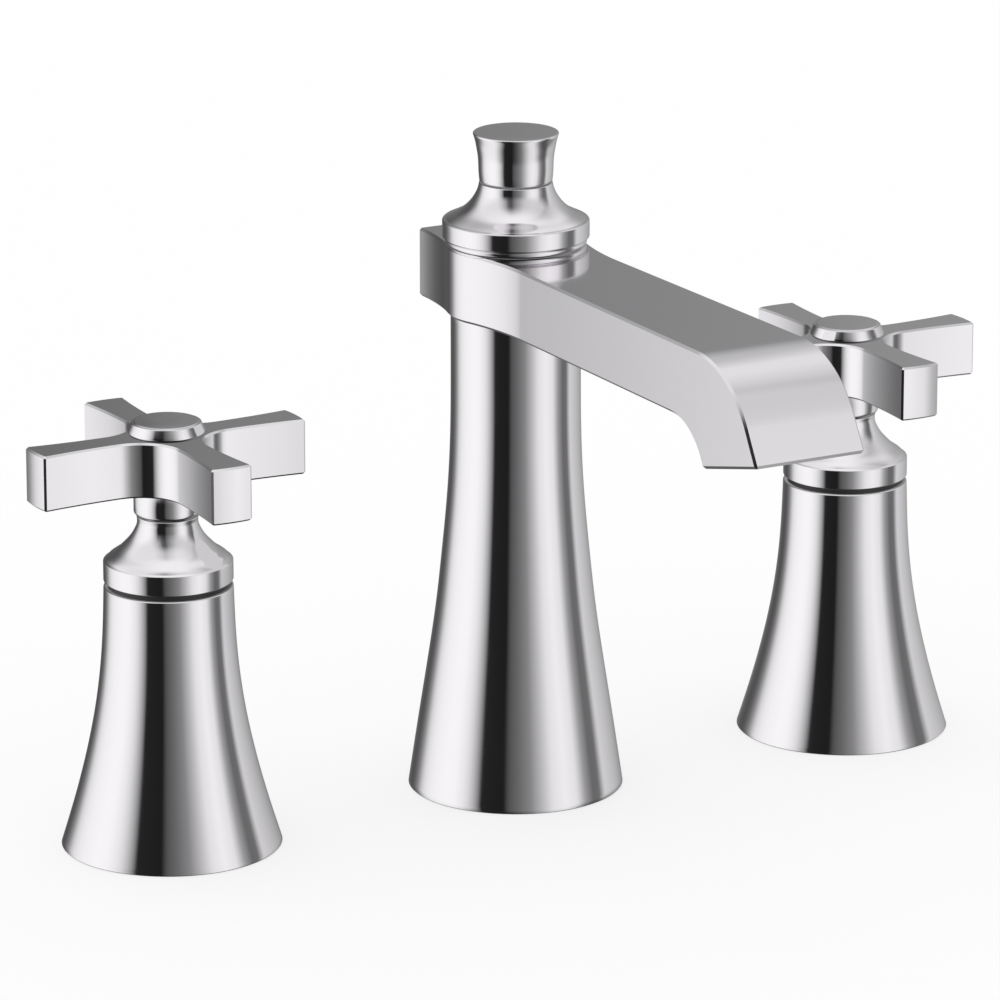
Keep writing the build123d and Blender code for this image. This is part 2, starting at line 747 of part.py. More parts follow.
def rod_bush():
    inner = rod_radius + slide_clearance
    return ring(inner, inner + bush_wall, cap_top - bush_length, cap_top)


def lift_rod():
    return rod(rod_radius, -rod_tail, knob_floor + rod_grip)


def lift_knob():
    foot = (knob_foot_radius, knob_floor)
    top = (knob_top_radius, knob_top - knob_edge)
    rim = (knob_top_radius - knob_edge, knob_top)
    knob = turned(
        Line((0, knob_floor), foot),
        Spline(*flare_points(foot, top, knob_curve_shares)),
        RadiusArc(top, rim, -knob_edge),
        RadiusArc(rim, (0, knob_top + knob_dome), -dome_radius(rim[0], knob_dome)),
        Line((0, knob_top + knob_dome), (0, knob_floor)),
    )
    return knob - rod(rod_radius + slide_clearance, knob_floor - overrun, knob_floor + rod_grip)


# The aerator's housing is a sleeve with a lip at the outlet
def aerator_housing():
    inner = aerator_radius - aerator_wall
    sleeve = ring(inner, aerator_radius, aerator_recess, aerator_top)
    lip = ring(inner - aerator_lip, aerator_radius, aerator_recess, aerator_recess + aerator_lip)
    return outlet_place() * (sleeve + lip)


# The insert is a cup with rings of holes in its floor, standing on the lip
def aerator_insert():
    outer = aerator_radius - aerator_wall - seat_clearance
    floor = aerator_recess + aerator_lip
    inner = outer - aerator_wall
    insert = rod(outer, floor, aerator_top) - rod(inner, floor + aerator_plate, aerator_top + overrun)
    hole = rod(aerator_hole_radius, floor - overrun, aerator_top)
    ring_step = (inner - 2 * aerator_hole_radius) / aerator_hole_rings
    for count in range(1, aerator_hole_rings + 1):
        for place in PolarLocations(ring_step * count, 6 * count):
            insert -= place * hole
    return outlet_place() * insert


def aerator_washer():
    return outlet_place() * ring(waterway_bore_radius, aerator_radius, aerator_top, waterway_end)


handle_pieces = {
    "base": handle_base(),
    "base_seal": foot_seal(base_foot_radius, base_wall, 0),
    "valve_body": valve_body(),
    "deck_gasket": deck_gasket(valve_shank_radius, valve_flange_radius),
    "rubber_washer": rubber_washer(valve_shank_radius, valve_flange_radius),
    "clamp_washer": clamp_washer(valve_shank_radius, valve_flange_radius),
    "mounting_nut": mounting_nut(valve_shank_radius),
    "cartridge_housing": cartridge_housing(),
    "gland_nut": gland_nut(),
    "seat_seal": seat_seal(),
    "lower_disc": lower_disc(),
    "upper_disc": upper_disc(),
    "stem": stem(),
    "stem_ring": stem_ring(),
    "glide_ring": glide_ring(),
    "skirt": handle_skirt(),
    "handle": handle_cross(),
    "handle_screw": handle_screw(),
    "handle_button": handle_button(),
}

spout_pieces = {
    "spout_column": spout_column(),
    "spout_base_seal": foot_seal(column_foot_radius, column_wall, 0),
    "spout_arm": spout_arm(),
    "arm_dowel": dowel(),
    "waterway_tube": waterway_tube(),
    "waterway_ring": waterway_ring(),
    "spout_shank": spout_shank(),
    "spout_deck_gasket": deck_gasket(spout_shank_radius, spout_flange_radius),
    "spout_rubber_washer": rubber_washer(spout_shank_radius, spout_flange_radius),
    "spout_clamp_washer": clamp_washer(spout_shank_radius, spout_flange_radius),
    "spout_mounting_nut": mounting_nut(spout_shank_radius),
    "mixing_tee": mixing_tee(),
    "tee_ring": tee_ring(),
    "centre_tube": centre_tube(),
    "spout_cap": spout_cap(),
    "rod_bush": rod_bush(),
    "lift_rod": lift_rod(),
    "lift_knob": lift_knob(),
    "aerator_housing": aerator_housing(),
    "aerator_insert": aerator_insert(),
    "aerator_washer": aerator_washer(),
}

# The cold side is the hot side turned half round, so that both outlet ports face the spout
sides = {"hot": Pos(-handle_offset, 0, 0), "cold": Pos(handle_offset, 0, 0) * Rot(0, 0, 180)}

for side, place in sides.items():
    for name, piece in handle_pieces.items():
        export_step(place * piece, f"parts/{side}_{name}.step")

for name, piece in spout_pieces.items():
    export_step(piece, f"parts/{name}.step")
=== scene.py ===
import json
import math

import bmesh
import bpy
from mathutils import Matrix, Vector

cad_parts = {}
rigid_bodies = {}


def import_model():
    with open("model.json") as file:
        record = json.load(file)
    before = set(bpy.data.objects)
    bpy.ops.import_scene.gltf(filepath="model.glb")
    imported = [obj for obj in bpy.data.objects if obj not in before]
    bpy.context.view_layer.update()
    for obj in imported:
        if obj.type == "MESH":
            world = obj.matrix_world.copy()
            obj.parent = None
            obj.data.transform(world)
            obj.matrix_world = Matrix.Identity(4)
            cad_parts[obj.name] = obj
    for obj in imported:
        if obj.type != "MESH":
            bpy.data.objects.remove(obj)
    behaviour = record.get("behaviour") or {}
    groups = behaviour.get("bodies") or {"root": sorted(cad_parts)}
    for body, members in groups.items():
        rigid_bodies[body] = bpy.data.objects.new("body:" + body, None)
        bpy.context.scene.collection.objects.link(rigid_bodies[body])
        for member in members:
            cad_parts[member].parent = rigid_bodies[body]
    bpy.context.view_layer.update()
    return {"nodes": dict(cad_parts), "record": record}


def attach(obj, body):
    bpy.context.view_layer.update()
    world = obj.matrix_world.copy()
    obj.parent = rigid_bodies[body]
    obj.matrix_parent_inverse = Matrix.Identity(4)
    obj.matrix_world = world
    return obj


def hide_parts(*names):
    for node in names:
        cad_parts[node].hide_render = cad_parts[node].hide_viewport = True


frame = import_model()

# Sizes are in millimetres, as on the maker's drawing, and mm turns them into the scene's metres
mm = 0.001
handleSpread = 203.2
handleCentres = {"hot": -handleSpread / 2, "cold": handleSpread / 2}
turnSteps = 160  # faces round a turned piece
crispAngle = math.radians(28)  # an edge that turns by more than this is shaded sharp
weldGap = 0.002  # points closer than this are made one
print("frame loaded:", len(frame["nodes"]), "nodes")


# Curves: every outline of a turned piece is a list of (distance from the axis, height) points

def splineBends(knots, values):
    # Second derivatives of a natural cubic spline, by elimination down and substitution back up
    count = len(values)
    shares, bends = [0.0] * count, [0.0] * count
    for i in range(1, count - 1):
        left, right = knots[i] - knots[i - 1], knots[i + 1] - knots[i]
        slopeChange = (values[i + 1] - values[i]) / right - (values[i] - values[i - 1]) / left
        pivot = 2 * (left + right) - left * shares[i - 1]
        shares[i] = right / pivot
        bends[i] = (6 * slopeChange - left * bends[i - 1]) / pivot
    for i in range(count - 2, 0, -1):
        bends[i] -= shares[i] * bends[i + 1]
    return bends


def splineThrough(points, steps):
    # A natural cubic spline through the points, spaced by their distances, so its curvature never jumps
    knots = [0.0]
    for here, there in zip(points, points[1:]):
        knots.append(knots[-1] + math.dist(here, there))
    bends = [splineBends(knots, [point[axis] for point in points]) for axis in (0, 1)]
    path = []
    span = 0
    for step in range(steps + 1):
        at = knots[-1] * step / steps
        while span < len(points) - 2 and at > knots[span + 1]:
            span += 1
        width = knots[span + 1] - knots[span]
        after = (at - knots[span]) / width
        before = 1 - after
        path.append(tuple(
            before * points[span][axis] + after * points[span + 1][axis]
            + ((before ** 3 - before) * bends[axis][span] + (after ** 3 - after) * bends[axis][span + 1])
            * width ** 2 / 6
            for axis in (0, 1)
        ))
    return path


def flare(foot, top, shares, steps):
    # Each share is a part of the height and the part of the flare that is left there
    points = [foot]
    for heightShare, flareShare in shares:
        points.append((
            top[0] + (foot[0] - top[0]) * flareShare,
            foot[1] + (top[1] - foot[1]) * heightShare,
        ))
    return splineThrough(points + [top], steps)


def rounded(corners):
    # A corner with a third number is rounded to that radius where its two straight sides meet
    steps = 5
    path = []
    for i, corner in enumerate(corners):
        if len(corner) == 2:
            path.append(corner)
            continue
        radius = corner[2]
        here = Vector(corner[:2])
        back = (Vector(corners[i - 1][:2]) - here).normalized()
        ahead = (Vector(corners[(i + 1) % len(corners)][:2]) - here).normalized()
        half = back.angle(ahead) / 2
        centre = here + (back + ahead).normalized() * radius / math.sin(half)
        start = here + back * radius / math.tan(half) - centre
        end = here + ahead * radius / math.tan(half) - centre
        sweep = start.angle(end) * (1 if start.x * back.y - start.y * back.x < 0 else -1)
        for step in range(steps + 1):
            path.append(tuple(centre + Matrix.Rotation(sweep * step / steps, 2) @ start))
    return path


def arcPoints(centre, radius, startAngle, endAngle, steps):
    points = []
    for step in range(steps + 1):
        angle = math.radians(startAngle + (endAngle - startAngle) * step / steps)
        points.append((centre[0] + radius * math.cos(angle), centre[1] + radius * math.sin(angle)))
    return points


# Materials, one for each slot of the record. Patterns read Object coordinates, in metres.

def feed(tree, socket, source):
    # A source is another node's output, a number, a vector or a colour
    if isinstance(source, bpy.types.NodeSocket):
        tree.links.new(source, socket)
    else:
        socket.default_value = (*source, 1) if socket.type == "RGBA" else source


def addNode(tree, kind, inputs=None, **settings):
    made = tree.nodes.new(kind)
    for name, value in settings.items():
        setattr(made, name, value)
    for name, source in (inputs or {}).items():
        feed(tree, made.inputs[name], source)
    return made


def newMaterial(name, inputs):
    material = bpy.data.materials.new(name)
    material.use_nodes = True
    tree = material.node_tree
    shader = tree.nodes["Principled BSDF"]
    for socket, source in inputs.items():
        feed(tree, shader.inputs[socket], source)
    place = addNode(tree, "ShaderNodeTexCoord").outputs["Object"]
    return material, tree, shader, place


def spotted(tree, place, scale, detail=3.0, stretch=(1, 1, 1)):
    placed = addNode(tree, "ShaderNodeMapping", {"Scale": stretch, "Vector": place}).outputs["Vector"]
    inputs = {"Scale": scale, "Detail": detail, "Vector": placed}
    return addNode(tree, "ShaderNodeTexNoise", inputs).outputs["Fac"]


def between(tree, noise, low, high):
    # Noise seldom leaves the middle of its range, so that middle is spread from low to high
    limits = {"From Min": 0.3, "From Max": 0.7, "To Min": low, "To Max": high, "Value": noise}
    return addNode(tree, "ShaderNodeMapRange", limits).outputs["Result"]


def mixedColour(tree, share, first, second):
    # A colour mix has its share in input 0, its colours in inputs 6 and 7, and its result in output 2
    return addNode(tree, "ShaderNodeMix", {0: share, 6: first, 7: second}, data_type="RGBA").outputs[2]


def raised(tree, shader, pattern, strength, depth):
    bump = addNode(tree, "ShaderNodeBump", {"Strength": strength, "Distance": depth * mm, "Height": pattern})
    feed(tree, shader.inputs["Normal"], bump.outputs["Normal"])


def chromePlate():
    look = {
        "tint": (0.94, 0.92, 0.945), "hazeScale": 90, "polished": 0.07, "hazed": 0.10,
        "rippleScale": 260, "rippleDetail": 2.0, "ripple": 0.02, "rippleDepth": 0.02,
    }
    material, tree, shader, place = newMaterial("chrome", {"Metallic": 1.0, "Base Color": look["tint"]})
    haze = between(tree, spotted(tree, place, look["hazeScale"]), look["polished"], look["hazed"])
    feed(tree, shader.inputs["Roughness"], haze)
    ripple = spotted(tree, place, look["rippleScale"], look["rippleDetail"])
    raised(tree, shader, ripple, look["ripple"], look["rippleDepth"])
    return material


def machinedMetal(name, light, dark, smooth, rough, lines):
    # Turning lines lie in level rings, on metal that is unevenly stained and worn
    look = {
        "stainScale": 70, "stainDetail": 4.0, "wearScale": 150, "lineScale": 40, "line": 0.25,
        "lineDepth": 0.04,
    }
    material, tree, shader, place = newMaterial(name, {"Metallic": 1.0})
    stain = between(tree, spotted(tree, place, look["stainScale"], look["stainDetail"]), 0, 1)
    feed(tree, shader.inputs["Base Color"], mixedColour(tree, stain, light, dark))
    wear = between(tree, spotted(tree, place, look["wearScale"]), smooth, rough)
    feed(tree, shader.inputs["Roughness"], wear)
    rings = spotted(tree, place, look["lineScale"], stretch=(1, 1, lines))
    raised(tree, shader, rings, look["line"], look["lineDepth"])
    return material


def mouldedPlastic(name, light, dark, roughness, grainScale):
    look = {"toneScale": 45, "toneDetail": 4.0, "grainDetail": 2.0, "grain": 0.2, "grainDepth": 0.05}
    material, tree, shader, place = newMaterial(name, {"Roughness": roughness})
    tone = between(tree, spotted(tree, place, look["toneScale"], look["toneDetail"]), 0, 1)
    feed(tree, shader.inputs["Base Color"], mixedColour(tree, tone, light, dark))
    grain = spotted(tree, place, grainScale, look["grainDetail"])
    raised(tree, shader, grain, look["grain"], look["grainDepth"])
    return material


materials = {
    "chrome": chromePlate(),
    "brass": machinedMetal("brass", (0.79, 0.60, 0.29), (0.66, 0.47, 0.20), 0.22, 0.38, 60),
    "steel": machinedMetal("steel", (0.66, 0.66, 0.67), (0.54, 0.54, 0.56), 0.25, 0.40, 45),
    "copper": machinedMetal("copper", (0.82, 0.46, 0.31), (0.64, 0.33, 0.21), 0.25, 0.42, 8),
    "rubber": mouldedPlastic("rubber", (0.035, 0.035, 0.037), (0.022, 0.022, 0.024), 0.72, 900),
    "black_plastic": mouldedPlastic("blackPlastic", (0.03, 0.03, 0.033), (0.02, 0.02, 0.022), 0.45, 700),
    "white_plastic": mouldedPlastic("whitePlastic", (0.80, 0.79, 0.76), (0.72, 0.71, 0.68), 0.38, 600),
    "ceramic": mouldedPlastic("ceramic", (0.90, 0.88, 0.83), (0.83, 0.81, 0.76), 0.12, 300),
}
for part in frame["record"]["subparts"]:
    node = frame["nodes"][part["node"]]
    node.data.materials.clear()
    node.data.materials.append(materials[part["material_slot"]])
print("materials made:", len(materials))


# Making a chromed piece from its bmesh: doubles merged, faces outwards and shaded smooth, riding on its body

def finishPiece(name, shape, body, node):
    bmesh.ops.remove_doubles(shape, verts=shape.verts, dist=weldGap * mm)
    bmesh.ops.dissolve_degenerate(shape, edges=shape.edges, dist=weldGap / 2 * mm)
    loose = [edge for edge in shape.edges if not edge.link_faces]
    bmesh.ops.delete(shape, geom=loose, context="EDGES")
    bmesh.ops.recalc_face_normals(shape, faces=shape.faces)
    for face in shape.faces:
        face.smooth = True
    piece = addObject(name, shape, materials["chrome"])
    even = piece.modifiers.new("evenShading", "WEIGHTED_NORMAL")
    even.keep_sharp = True
    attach(piece, body)
    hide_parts(node)


def addObject(name, shape, material):
    mesh = bpy.data.meshes.new(name)
    shape.to_mesh(mesh)
    shape.free()
    mesh.materials.append(material)
    made = bpy.data.objects.new(name, mesh)
    bpy.context.scene.collection.objects.link(made)
    return made


def addPrism(shape, outline, floor, top):
    # The outline's points are (x, y), and the solid between floor and top is upright
    corners = [shape.verts.new((x * mm, y * mm, floor * mm)) for x, y in outline]
    sole = shape.faces.new(corners)
    grown = bmesh.ops.extrude_face_region(shape, geom=[sole])["geom"]
    upper = [part for part in grown if isinstance(part, bmesh.types.BMVert)]
    bmesh.ops.translate(shape, verts=upper, vec=(0, 0, (top - floor) * mm))


def chamfered(shape, edges, width):
    # One segment is a flat chamfer with crisp borders, as on a machined and polished edge
    made = bmesh.ops.bevel(
        shape, geom=edges, offset=width * mm, offset_type="OFFSET", affect="EDGES", segments=1,
        profile=0.5, material=-1,
    )
    shape.normal_update()
    markCrisp({edge for face in made["faces"] for edge in face.edges})


def markCrisp(edges):
    for edge in edges:
        if edge.calc_face_angle(0) > crispAngle:
            edge.smooth = False


def spinOutline(shape, outline, centreX, closed):
    # The outline's points are spun once round the upright axis through centreX
    corners = [shape.verts.new(((centreX + r) * mm, 0, z * mm)) for r, z in outline]
    edges = [shape.edges.new(pair) for pair in zip(corners, corners[1:])]
    if closed:
        edges.append(shape.edges.new((corners[-1], corners[0])))
    bmesh.ops.spin(
        shape, geom=corners + edges, cent=(centreX * mm, 0, 0), axis=(0, 0, 1),
        angle=math.tau, steps=turnSteps, use_merge=True,
    )


def turnPiece(name, outline, centreX, body, node, closed=True):
    # An outline that starts and ends on the axis isn't closed
    shape = bmesh.new()
    spinOutline(shape, outline, centreX, closed)
    finishPiece(name, shape, body, node)


# Handle base: a flared shell open below, with a seat for the glide ring in its top
baseLook = {
    "foot": 28.5, "top": 16.67, "height": 69.3, "wall": 2.4, "footEdge": 0.3, "topEdge": 0.4,
    "rimWidth": 1.1, "seatFloor": 67.3, "seatBore": 14.2, "liningTop": 66.0, "steps": 56,
}
baseShares = ((0.144, 0.746), (0.346, 0.437), (0.491, 0.261), (0.635, 0.133), (0.779, 0.053))


def baseOutline(look):
    sideTop = (look["top"], look["height"] - look["topEdge"])
    side = flare((look["foot"], look["footEdge"]), sideTop, baseShares, look["steps"])
    lining = [(r - look["wall"], z) for r, z in side if z < look["liningTop"]]
    seat = look["top"] - look["rimWidth"]
    return rounded([
        (look["foot"] - look["wall"], 0), (look["foot"] - look["footEdge"], 0),
    ] + side + [
        (look["top"], look["height"], look["topEdge"]), (seat, look["height"]), (seat, look["seatFloor"]),
        (look["seatBore"], look["seatFloor"]),
    ] + lining[::-1])


for side, centre in handleCentres.items():
    turnPiece(f"{side}HandleBase", baseOutline(baseLook), centre, "body", f"{side}_base")
print("handle bases made")

# Skirt: a short upright rim with a bell above it, hollow where it covers the gland nut
skirtLook = {
    "rim": 16.65, "floor": 70.8, "rimTop": 76.0, "edge": 0.3, "wall": 2.6, "neck": 7.95, "top": 87.8,
    "neckEdge": 0.12, "bore": 4.5, "steps": 48,
}
skirtShares = ((0.10, 0.87), (0.22, 0.63), (0.36, 0.416), (0.52, 0.213), (0.70, 0.06), (0.86, -0.015))


def skirtOutline(look):
    edge = look["edge"]
    bellFoot = (look["rim"] - edge, look["rimTop"])
    bell = flare(bellFoot, (look["neck"], look["top"]), skirtShares, look["steps"])
    inside = look["rim"] - look["wall"]
    ceiling = look["rimTop"] - edge
    return rounded([
        (inside, look["floor"]), (look["rim"], look["floor"], edge), (look["rim"], look["rimTop"], edge),
    ] + bell[1:-1] + [
        (look["neck"], look["top"], look["neckEdge"]), (look["bore"], look["top"]), (look["bore"], ceiling),
        (inside, ceiling),
    ])


# Collar under the cross, and the button on top of it
collarLook = {
    "groove": 7.25, "seat": 87.8, "floor": 88.25, "radius": 8.65, "round": 1.0, "top": 95.4, "steps": 8,
}
buttonLook = {
    "foot": (9.55, 109.35), "belly": (9.9, 110.05, 0.3), "side": (9.78, 110.55), "rim": (8.85, 112.65, 0.4),
    "dome": [(8.35, 112.7), (4.425, 112.99), (0, 113.05)], "domeSteps": 16,
}


def collarOutline(look):
    roundCentre = (look["radius"] - look["round"], look["floor"] + look["round"])
    foot = arcPoints(roundCentre, look["round"], -90, 0, look["steps"])
    return [(0, look["seat"]), (look["groove"], look["seat"]), (look["groove"], look["floor"])] + foot + [
        (look["radius"], look["top"]), (0, look["top"]),
    ]


def buttonOutline(look):
    sole = (0, look["foot"][1])
    side = rounded([sole, look["foot"], look["belly"], look["side"], look["rim"]])
    return side + splineThrough(look["dome"], look["domeSteps"])


# Cross: four arms that widen to their ends, with a quarter-round valley between each two
crossLook = {
    "reach": 37.3, "endHalfWidth": 5.7, "waistHalfWidth": 4.3, "waist": 15.5, "floor": 94.9, "top": 109.4,
    "endCut": 0.56, "sideCut": 0.45, "rim": 0.5, "rimAngle": 60,
    "endSteps": 6, "sideSteps": 10, "valleySteps": 20,
}


def crossQuarter(look):
    # The corners are cut flat, a little more off the end than off the side
    half = math.asin(look["endHalfWidth"] / look["reach"])
    cut = math.degrees(half - look["endCut"] / look["reach"])
    end = arcPoints((0, 0), look["reach"], -cut, cut, look["endSteps"])
    run = look["reach"] * math.cos(half) - look["waist"]
    rise = look["endHalfWidth"] - look["waistHalfWidth"]
    radius = (run * run + rise * rise) / (2 * rise)
    sweep = math.degrees(math.asin(run / radius) - look["sideCut"] / radius)
    sideCentre = (look["waist"], look["waistHalfWidth"] + radius)
    side = arcPoints(sideCentre, radius, sweep - 90, -90, look["sideSteps"])
    valleyRadius = look["waist"] - look["waistHalfWidth"]
    valley = arcPoints((look["waist"], look["waist"]), valleyRadius, -90, -180, look["valleySteps"])
    nextSide = [(y, x) for x, y in side[::-1]]
    return end + side[:-1] + valley[:-1] + nextSide


def addCross(shape, look, centreX):
    outline = []
    for turn in range(4):
        spun = Matrix.Rotation(math.radians(90 * turn), 2)
        for point in crossQuarter(look):
            x, y = spun @ Vector(point)
            outline.append((centreX + x, y))
    addPrism(shape, outline, look["floor"], look["top"])
    markCrisp(shape.edges)
    rims = []
    for edge in shape.edges:
        level = {round(vert.co.z / mm, 2) for vert in edge.verts}
        if len(level) == 1 and edge.calc_face_angle(0) > math.radians(look["rimAngle"]):
            rims.append(edge)
    chamfered(shape, rims, look["rim"])


for side, centre in handleCentres.items():
    body = f"{side}_handle"
    turnPiece(f"{side}Skirt", skirtOutline(skirtLook), centre, body, f"{side}_skirt")
    cross = bmesh.new()
    addCross(cross, crossLook, centre)
    spinOutline(cross, collarOutline(collarLook), centre, closed=False)
    finishPiece(f"{side}Cross", cross, body, f"{side}_handle")
    turnPiece(f"{side}Button", buttonOutline(buttonLook), centre, body, f"{side}_handle_button", closed=False)
print("handles made")

# Spout column: a flared shell with a roof that carries the arm
columnLook = {
    "foot": 28.4, "neck": 17.0, "height": 128.5, "wall": 2.4, "footEdge": 0.3, "topEdge": 0.2, "roof": 4.5,
    "steps": 90,
}
columnShares = (
    (0.125, 0.79), (0.272, 0.533), (0.389, 0.346), (0.506, 0.204), (0.623, 0.085), (0.739, 0.018),
    (0.87, 0.0),
)


def columnOutline(look):
    sideTop = (look["neck"], look["height"] - look["topEdge"])
    side = flare((look["foot"], look["footEdge"]), sideTop, columnShares, look["steps"])
    ceiling = look["height"] - look["roof"]
    lining = [(r - look["wall"], z) for r, z in side if z < ceiling]
    return [(look["foot"] - look["wall"], 0), (look["foot"] - look["footEdge"], 0)] + side + [
        (look["neck"] - look["topEdge"], look["height"]), (0, look["height"]), (0, ceiling),
        (look["neck"] - look["wall"], ceiling),
    ] + lining[::-1]


turnPiece("spoutColumn", columnOutline(columnLook), 0, "body", "spout_column")
print("column made")

# Spout arm: a prism of its plan up to the nose, then the front face drawn on along the nose's two curves.
# Plan points are (half width, distance in front of the axis), nose points (distance in front, height).
armLook = {
    "hub": 18.2, "rootHalfWidth": 14.1, "tipHalfWidth": 15.6, "waist": 28.0, "tail": 26.8, "floor": 128.5,
    "top": 147.0, "hubSteps": 22, "hollowSteps": 14, "stations": (50.0, 70.0, 90.0),
    "noseStart": 105.0, "noseFlat": 111.5, "bend": 117.8, "bendRadius": 28.0, "bendEnd": 30, "bendSteps": 18,
    "noseFront": [(143.7, 130.1), (145.4, 127.2), (147.07, 124.3)], "throatRadius": 17.2, "throatEnd": 22.6,
    "edge": 0.6, "sole": 0.8, "edgeAngle": 55, "sideways": 0.3, "level": 0.2, "topSlack": 0.001,
    "corner": 0.4, "cornerRise": 10.0, "cornerBack": 20.0, "cornerAngle": 50,
    "outlet": 9.48, "outletDepth": 9.9, "outletSteps": 64,
}


def noseCurves(look):
    bendCentre = (look["bend"], look["top"] - look["bendRadius"])
    bend = arcPoints(bendCentre, look["bendRadius"], 90, look["bendEnd"], look["bendSteps"])
    upper = [(look["noseStart"], look["top"]), (look["noseFlat"], look["top"])] + bend + look["noseFront"]
    throatCentre = (look["noseStart"], look["floor"] - look["throatRadius"])
    throat = arcPoints(throatCentre, look["throatRadius"], 90, look["throatEnd"], len(upper) - 1)
    return upper, throat


upperCurve, throatCurve = noseCurves(armLook)


def armHalfWidth(look, distance):
    share = (distance - look["waist"]) / (upperCurve[-1][0] - look["waist"])
    return look["rootHalfWidth"] + (look["tipHalfWidth"] - look["rootHalfWidth"]) * share


def armPlan(look):
    # Right half from the tail to the nose's start: the hub's round between two hollows that touch it
    step = look["hub"] - look["rootHalfWidth"]
    hollow = (look["waist"] ** 2 - look["hub"] ** 2 + look["rootHalfWidth"] ** 2) / (2 * step)
    centreX = look["rootHalfWidth"] + hollow
    lean = math.degrees(math.atan2(look["waist"], centreX))
    hub = arcPoints((0, 0), look["hub"], -lean, lean, look["hubSteps"])
    back = arcPoints((centreX, -look["waist"]), hollow, 180, 180 - lean, look["hollowSteps"])
    front = arcPoints((centreX, look["waist"]), hollow, 180 + lean, 180, look["hollowSteps"])
    tail = [(look["rootHalfWidth"] + (look["waist"] - look["tail"]) ** 2 / (2 * hollow), -look["tail"])]
    tail += [point for point in back if point[1] > -look["tail"]]
    runs = [(armHalfWidth(look, y), y) for y in (*look["stations"], look["noseStart"])]
    return tail[:-1] + hub + front[1:] + runs


def armShape(look):
    shape = bmesh.new()
    right = [(x, -y) for x, y in armPlan(look)]
    addPrism(shape, right + [(-x, y) for x, y in right[::-1]], look["floor"], look["top"])
    shape.normal_update()
    front = min(shape.faces, key=lambda face: face.calc_center_median().y)
    for upper, throat in list(zip(upperCurve, throatCurve))[1:]:
        front = bmesh.ops.extrude_discrete_faces(shape, faces=[front])["faces"][0]
        middle = front.calc_center_median()
        for vert in front.verts:
            y, z = upper if vert.co.z > middle.z else throat
            side = math.copysign(armHalfWidth(look, y), vert.co.x)
            vert.co = (side * mm, -y * mm, z * mm)
    bmesh.ops.remove_doubles(shape, verts=shape.verts, dist=weldGap * mm)
    bmesh.ops.recalc_face_normals(shape, faces=shape.faces)
    return shape


def easeArm(shape, look):
    # The upright corners of the tail first, then the upper rim, then the lower edges
    def eased(width, test):
        chosen = [edge for edge in shape.edges if len(edge.link_faces) == 2 and test(edge)]
        chamfered(shape, chosen, width)

    def tailCorner(edge):
        start, end = [vert.co / mm for vert in edge.verts]
        sharp = edge.calc_face_angle(0) > math.radians(look["cornerAngle"])
        return sharp and abs(start.z - end.z) > look["cornerRise"] and start.y > look["cornerBack"]

    def rim(edge):
        # One of its faces leans up or down by more than level, and to a side by less than sideways
        levels = [abs(face.normal.z) for face in edge.link_faces if abs(face.normal.x) < look["sideways"]]
        sharp = edge.calc_face_angle(0) > math.radians(look["edgeAngle"])
        return sharp and max(levels, default=0) > look["level"]

    def upperRim(edge):
        middle = sum((vert.co for vert in edge.verts), Vector()) / 2
        facing = sum((face.normal for face in edge.link_faces), Vector())
        onTop = middle.z > (look["top"] - look["topSlack"]) * mm
        onNose = middle.y < -look["noseStart"] * mm and facing.z > look["level"]
        return rim(edge) and (onTop or onNose)

    eased(look["corner"], tailCorner)
    eased(look["edge"], upperRim)
    eased(look["sole"], lambda edge: rim(edge) and not upperRim(edge))


def cutOutlet(shape, look):
    # The face between the nose's tip and its heel gets a round hole for the aerator
    heel, tip = [Vector((0, -curve[-1][0], curve[-1][1])) for curve in (throatCurve, upperCurve)]
    middle = (heel + tip) / 2 * mm
    facing = Vector((1, 0, 0)).cross((tip - heel).normalized())
    if facing.z > 0:
        facing.negate()
    outlet = min(shape.faces, key=lambda face: (face.calc_center_median() - middle).length)
    turn = Vector((0, 0, 1)).rotation_difference(facing).to_matrix().to_4x4()
    border = list(outlet.edges)
    bmesh.ops.delete(shape, geom=[outlet], context="FACES_ONLY")
    made = bmesh.ops.create_circle(
        shape, cap_ends=False, segments=look["outletSteps"], radius=look["outlet"] * mm,
        matrix=Matrix.Translation(middle) @ turn,
    )["verts"]
    loop = list({edge for vert in made for edge in vert.link_edges})
    bmesh.ops.bridge_loops(shape, edges=border + loop)
    wall = bmesh.ops.extrude_edge_only(shape, edges=loop)["geom"]
    inner = [part for part in wall if isinstance(part, bmesh.types.BMVert)]
    bmesh.ops.translate(shape, verts=inner, vec=-facing * look["outletDepth"] * mm)
    innerEdges = [part for part in wall if isinstance(part, bmesh.types.BMEdge)]
    bmesh.ops.holes_fill(shape, edges=innerEdges, sides=0)


arm = armShape(armLook)
easeArm(arm, armLook)
cutOutlet(arm, armLook)
finishPiece("spoutArm", arm, "body", "spout_arm")
print("arm made")

# Cap: a short foot with a beaded edge, an upright rim over the hub and a bell that sweeps in to the rod
capLook = {
    "floor": 147.0, "beadTop": 148.9, "beadWidth": 18.5, "beadEnd": 80, "beadSteps": 10,
    "rim": 19.15, "rimTop": 153.4, "rimLift": 0.1, "lowerEdge": 0.35, "upperEdge": 0.55, "shoulder": 0.35,
    "neck": 9.6, "neckEdge": 0.3, "top": 163.35, "steps": 48, "bore": 4.7, "bushBore": 5.1, "bushTop": 155.0,
}
capShares = ((0.10, 0.81), (0.22, 0.566), (0.36, 0.378), (0.52, 0.227), (0.70, 0.107), (0.86, 0.033))


